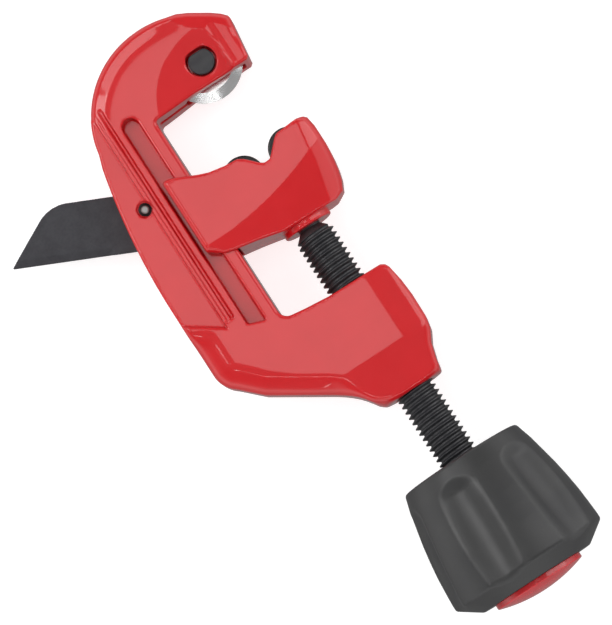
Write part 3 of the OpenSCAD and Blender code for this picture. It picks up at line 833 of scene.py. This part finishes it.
disc_low, disc_high = box_mm("thrust_disc")
thrust = turned_about_y("thrust_disc_hardened", [
    (0.0, disc_low.y, 0.0), (disc_high.x, disc_low.y, 0.2), (disc_high.x, disc_high.y, 0.2),
    (0.0, disc_high.y, 0.0)], sides=64, steps=3)
thrust.data.materials.append(bright_steel)
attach(thrust, "carriage")
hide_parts("thrust_disc")

keeper_low, keeper_high = box_mm("screw_keeper_pin")
keeper = turned_about_z("screw_keeper_pin_dowel", [
    (0.0, keeper_low.z, 0.0), (1.0, keeper_low.z, 0.2), (1.0, keeper_high.z, 0.2),
    (0.0, keeper_high.z, 0.0)], ((keeper_low.x + keeper_high.x) / 2,
                                 (keeper_low.y + keeper_high.y) / 2), sides=48, steps=3)
keeper.data.materials.append(bright_steel)
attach(keeper, "carriage")
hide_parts("screw_keeper_pin")


# ---------------------------------------------------------------- the feed screw
# One long blacked steel screw with a rolled right-hand thread.  Its plain neck and
# journal turn in the carriage, and its tail carries the knob.

screw_low, screw_high = box_mm("feed_screw")
knob_low, knob_high = box_mm("knob")
screw_radius = screw_high.x
pitch = 1.5
thread_depth = 0.6134 * pitch
journal_radius = 2.8
thread_end = foot - 1.8
thread_top = thread_end - (screw_radius - journal_radius)
shank_top = knob_high.y - 13.4
shank_end = shank_top - 4.0
tail_radius = 4.0
keeper_groove_radius = 1.9
keeper_play = 0.15
thread_phases = (0.0, 0.125, 0.28, 0.4375, 0.5625, 0.72, 0.875)
screw_sides = 64


def thread_radius(turn, y):
    """The thread's radius at a height, after that share of a turn about +Y."""
    phase = ((y - thread_top) / pitch - turn) % 1.0
    rise_share = min(max((0.5 - abs(phase - 0.5) - 0.125) / 0.3125, 0.0), 1.0)
    outer = screw_radius - thread_depth * (1.0 - rise_share)
    chamfer = journal_radius + max(thread_end - y, 0.0)
    run_out = screw_radius - thread_depth * min(max((y - shank_top) / pitch, 0.0), 1.0)
    return min(max(outer, run_out), chamfer)


def screw_point(r, angle, y):
    return (r * math.sin(angle), y, r * math.cos(angle))


bm = bmesh.new()
turns = int((thread_end - shank_top) / pitch) + 3
rows = [n + p for n in range(turns) for p in thread_phases]
lines = []
for k in range(screw_sides + 1):
    line = []
    for row in rows:
        y = shank_top + pitch * (row - 1.0 + k / screw_sides)
        y += (thread_top - shank_top) % pitch
        y = min(max(y, shank_top), thread_end)
        r = thread_radius(k / screw_sides, y)
        line.append(bm.verts.new(Vector(screw_point(r, math.tau * k / screw_sides, y)) * MM))
    lines.append(line)
for first, second in zip(lines, lines[1:]):
    for m in range(len(rows) - 1):
        bm.faces.new((first[m], second[m], second[m + 1], first[m + 1]))
groove_low, groove_high = keeper_low.y - keeper_play, keeper_high.y + keeper_play
journal_section = [(journal_radius, thread_end), (journal_radius, groove_low),
                   (keeper_groove_radius, groove_low), (keeper_groove_radius, groove_high),
                   (journal_radius, groove_high),
                   (journal_radius, screw_high.y - 0.5), (journal_radius - 0.5, screw_high.y),
                   (0.0, screw_high.y)]
tail_section = [(screw_radius, shank_top), (tail_radius, shank_top),
                (tail_radius, screw_low.y + 0.5), (tail_radius - 0.5, screw_low.y),
                (0.0, screw_low.y)]
revolve(bm, journal_section, screw_point, screw_sides, closed=False)
revolve(bm, tail_section, screw_point, screw_sides, closed=False)
bmesh.ops.remove_doubles(bm, verts=bm.verts, dist=0.000002)
bmesh.ops.dissolve_degenerate(bm, dist=0.000002, edges=bm.edges)
screw = new_piece("feed_screw_threaded", bm)
shade_by_edge(screw, 25.0)
screw.data.materials.append(black_steel)
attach(screw, "screw")
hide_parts("feed_screw")


# ---------------------------------------------------------------- the knob
# Moulded in black nylon over the screw's tail, with six leaning finger flutes and
# a store for a spare wheel in its foot.  The mould's fine spark texture shows.

knob_top, knob_foot = knob_high.y, knob_low.y
knob_section = [(screw_radius, knob_top), (15.2, knob_top), (15.55, knob_top - 0.15),
                (15.8, knob_top - 0.55), (16.95, knob_top - 4.5), (17.85, knob_top - 8.5),
                (18.7, knob_top - 12.5), (19.35, knob_top - 16.5), (19.85, knob_top - 20.5),
                (20.15, knob_top - 24.5), (20.35, knob_foot + 5.4), (20.35, knob_foot + 4.1),
                (20.05, knob_foot + 3.6), (14.9, knob_foot), (11.0, knob_foot), (11.0, shank_end),
                (tail_radius, shank_end), (tail_radius, shank_top), (screw_radius, shank_top)]
knob_turned = Template(knob_section, step=0.08, margin=4.0)
flute_radius = 9.0
flute_axis = 15.75 + 8.35
flute_lean = math.radians(8.0)
flute_arch = knob_top - 7.4


def knob_solid(x, y, z):
    solid = knob_turned(np.hypot(x, z), y + 0.0 * x)
    cuts = None
    for k in range(6):
        aim = math.radians(-15.5 + 60.0 * k)
        out = x * math.sin(aim) + z * math.cos(aim)
        across = x * math.cos(aim) - z * math.sin(aim)
        away = (out - flute_axis - (knob_top - y) * math.tan(flute_lean)) * math.cos(flute_lean)
        over = 1.5 * np.maximum(y - flute_arch, 0.0)
        cutter = np.sqrt(away * away + across * across + over * over) - flute_radius
        cuts = cutter if cuts is None else np.minimum(cuts, cutter)
    return carve(solid, cuts, 1.2)


def moulded_plastic(name, colour, darker, roughness, grain, depth, **sockets):
    """Moulded plastic with the mould's spark texture and faint flow marks."""
    material, nodes, links, shader, place = blank_finish(name, roughness, **sockets)
    flow = spread(nodes, links, noise(nodes, links, 45.0, 2.0, place, 1.0), 0.0, 1.0)
    two_tone(nodes, links, shader, flow, colour, darker)
    links.new(spread(nodes, links, flow, roughness * 0.92, roughness * 1.08, 0.0, 1.0),
              shader.inputs["Roughness"])
    relief(nodes, links, shader, noise(nodes, links, grain, 2.0, place), depth)
    return material


nylon = moulded_plastic("black_nylon", (0.028, 0.028, 0.028), (0.022, 0.022, 0.023), 0.42,
                        3200.0, 0.000012, Specular_IOR_Level=0.6)
knob = cast("knob_moulded", knob_solid, *around_box("knob", 0.6), 0.45)
knob.data.materials.append(nylon)
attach(knob, "screw")
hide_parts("knob")


# ---------------------------------------------------------------- the knob's nut and washer
# A zinc-plated nut on the screw's tail clamps the knob through a plain washer.

kw_low, kw_high = box_mm("knob_washer")
knob_washer = turned_about_y("knob_washer_plated", [
    (4.2, kw_low.y, 0.2), (kw_high.x, kw_low.y, 0.25), (kw_high.x, kw_high.y, 0.25),
    (4.2, kw_high.y, 0.2)], steps=4)
knob_washer.data.materials.append(zinc_steel)
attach(knob_washer, "screw")
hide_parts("knob_washer")

nut_low, nut_high = box_mm("knob_nut")
nut_half_flats = 6.5


def nut_solid(x, y, z):
    flats = np.abs(z) - nut_half_flats + 0.0 * x
    for turn in (60.0, 120.0):
        t = math.radians(turn)
        flats = np.maximum(flats, np.abs(x * math.sin(t) + z * math.cos(t)) - nut_half_flats)
    middle, half = (nut_low.y + nut_high.y) / 2, (nut_high.y - nut_low.y) / 2
    across = np.hypot(x, z)
    body = meet(flats, np.abs(y - middle) - half, 0.15)
    dome = (across + 1.7 * (np.abs(y - middle) - half)) / 2.0 - 6.7 / 2.0
    body = meet(body, dome, 0.1)
    mouth = 4.0 + 0.9 * np.maximum(np.abs(y - middle) - half + 0.7, 0.0)
    return carve(body, across - mouth, 0.1)


nut = cast("knob_nut_plated", nut_solid, *around_box("knob_nut"), 0.3)
nut.data.materials.append(zinc_steel)
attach(nut, "screw")
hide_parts("knob_nut")


# ---------------------------------------------------------------- the spare wheel
# A second cutting wheel, the same as the first, is stored under the knob's cap.

spare_low, spare_high = box_mm("spare_wheel")
spare_y = (spare_low.y + spare_high.y) / 2
spare = turned_about_y("spare_wheel_ground",
                       [(r, spare_y + h, b) for r, h, b in wheel_section], sides=144)
spare.data.materials.append(wheel_steel)
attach(spare, "screw")
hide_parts("spare_wheel")


# ---------------------------------------------------------------- the knob's cap
# A glossy red snap-in cap with a low dome closes the store.  It pulls straight off.

cap_low, cap_high = box_mm("knob_cap")
cap_radius = cap_high.x
skirt = 10.95
cap_wall = 1.0
dome_height = 1.9
rim_y = cap_low.y + dome_height
dome_radius = (cap_radius ** 2 + dome_height ** 2) / (2 * dome_height)
dome_points = []
for k in range(13):
    r = cap_radius * 0.985 * k / 12
    y = cap_low.y + dome_radius - math.sqrt(dome_radius ** 2 - r * r)
    dome_points.append((r, y, 0.0))
cap_section = dome_points + [
    (cap_radius, rim_y + 0.15, 0.12), (cap_radius, knob_foot, 0.15), (skirt, knob_foot, 0.1),
    (skirt, cap_high.y, 0.25), (skirt - cap_wall, cap_high.y, 0.25),
    (skirt - cap_wall, knob_foot + cap_wall, 0.4), (0.0, knob_foot + cap_wall, 0.0)]
red_plastic = moulded_plastic("red_plastic", (0.60, 0.006, 0.012), (0.56, 0.005, 0.010), 0.22,
                              500.0, 0.000006, Coat_Weight=0.5, Coat_Roughness=0.1)
cap = turned_about_y("knob_cap_moulded", cap_section, sides=128)
cap.data.materials.append(red_plastic)
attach(cap, "cap")
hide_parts("knob_cap")


# ---------------------------------------------------------------- the floor and the light
# The tool lies on a white table, resting on the knob's rim and the crown.  Softboxes
# hang overhead, behind its back and over the crown, two strips draw the thin
# highlights, and white walls close the room low down.

rest_knob = (knob_foot + 4.5, -20.35)
rest_crown = (crown_top - 2.0, -frame_half)
rest_slope = math.atan2(rest_crown[1] - rest_knob[1], rest_crown[0] - rest_knob[0])
table_half = 3.0
table_gap = 0.0002
table_glow = 0.76
wall_light, ceiling_light = 1.2, 0.24
table_mesh = bpy.data.meshes.new("table")
table_mesh.from_pydata([(-table_half, -table_half, 0), (table_half, -table_half, 0),
                        (table_half, table_half, 0), (-table_half, table_half, 0)],
                       [], [(0, 1, 2, 3)])
table = bpy.data.objects.new("table", table_mesh)
table.location = (0.0, rest_knob[0] * MM, rest_knob[1] * MM - table_gap)
table.rotation_euler = (rest_slope, 0.0, 0.0)
table.visible_glossy = False
bpy.context.scene.collection.objects.link(table)
white, nodes, links, shader, place = blank_finish("white_table", 0.8, Specular_IOR_Level=0.1)
grain = spread(nodes, links, noise(nodes, links, 300.0, 2.0, place), 0.0, 1.0)
two_tone(nodes, links, shader, grain, (0.45, 0.45, 0.45), (0.44, 0.44, 0.44))
shader.inputs["Emission Color"].default_value = (1.0, 1.0, 1.0, 1.0)
shader.inputs["Emission Strength"].default_value = table_glow
table_mesh.materials.append(white)

room = bpy.data.worlds.new("studio")
room.use_nodes = True
tree = room.node_tree
direction = tree.nodes.new("ShaderNodeTexCoord")
split = tree.nodes.new("ShaderNodeSeparateXYZ")
tree.links.new(direction.outputs["Generated"], split.inputs["Vector"])
from_level = tree.nodes.new("ShaderNodeMath")
from_level.operation = "ABSOLUTE"
tree.links.new(split.outputs["Z"], from_level.inputs[0])
walls = spread(tree.nodes, tree.links, from_level.outputs["Value"], wall_light, ceiling_light,
               0.05, 0.55)
tree.links.new(walls, tree.nodes["Background"].inputs["Strength"])
tree.nodes["Background"].inputs["Color"].default_value = (1.0, 1.0, 1.0, 1.0)
bpy.context.scene.world = room


def softbox(name, radiance, distance, across, along, size, shows=True):
    """An area lamp about the throat; across and along are its lean, in degrees, to +X and +Y."""
    centre = Vector((-0.01, -0.03, 0.0))
    way = Vector((math.tan(math.radians(across)), math.tan(math.radians(along)), 1.0)).normalized()
    lamp = bpy.data.lights.new(name, "AREA")
    lamp.shape = "RECTANGLE"
    lamp.size, lamp.size_y = size
    lamp.energy = radiance * math.pi * size[0] * size[1]
    item = bpy.data.objects.new(name, lamp)
    item.location = centre + way * distance
    item.rotation_euler = (-way).to_track_quat("-Z", "Y").to_euler()
    item.visible_glossy = shows
    bpy.context.scene.collection.objects.link(item)


softbox("overhead_softbox", 1.75, 1.2, -1.3, 6.0, (0.26, 0.34))
softbox("back_softbox", 4.5, 1.35, -33.0, 24.0, (0.62, 0.5))
softbox("open_side_wall", 2.0, 1.3, 52.0, 0.0, (0.5, 1.4))
softbox("foot_strip", 7.0, 1.2, -18.0, -58.0, (0.9, 0.05))
softbox("ridge_strip", 9.0, 1.2, -17.0, -25.0, (0.5, 0.04))
softbox("crown_softbox", 2.6, 1.3, -8.0, 33.0, (0.5, 0.28))
softbox("room_fill", 0.82, 1.6, 0.0, 0.0, (2.0, 2.0), shows=False)

bpy.context.scene.view_settings.view_transform = "Standard"
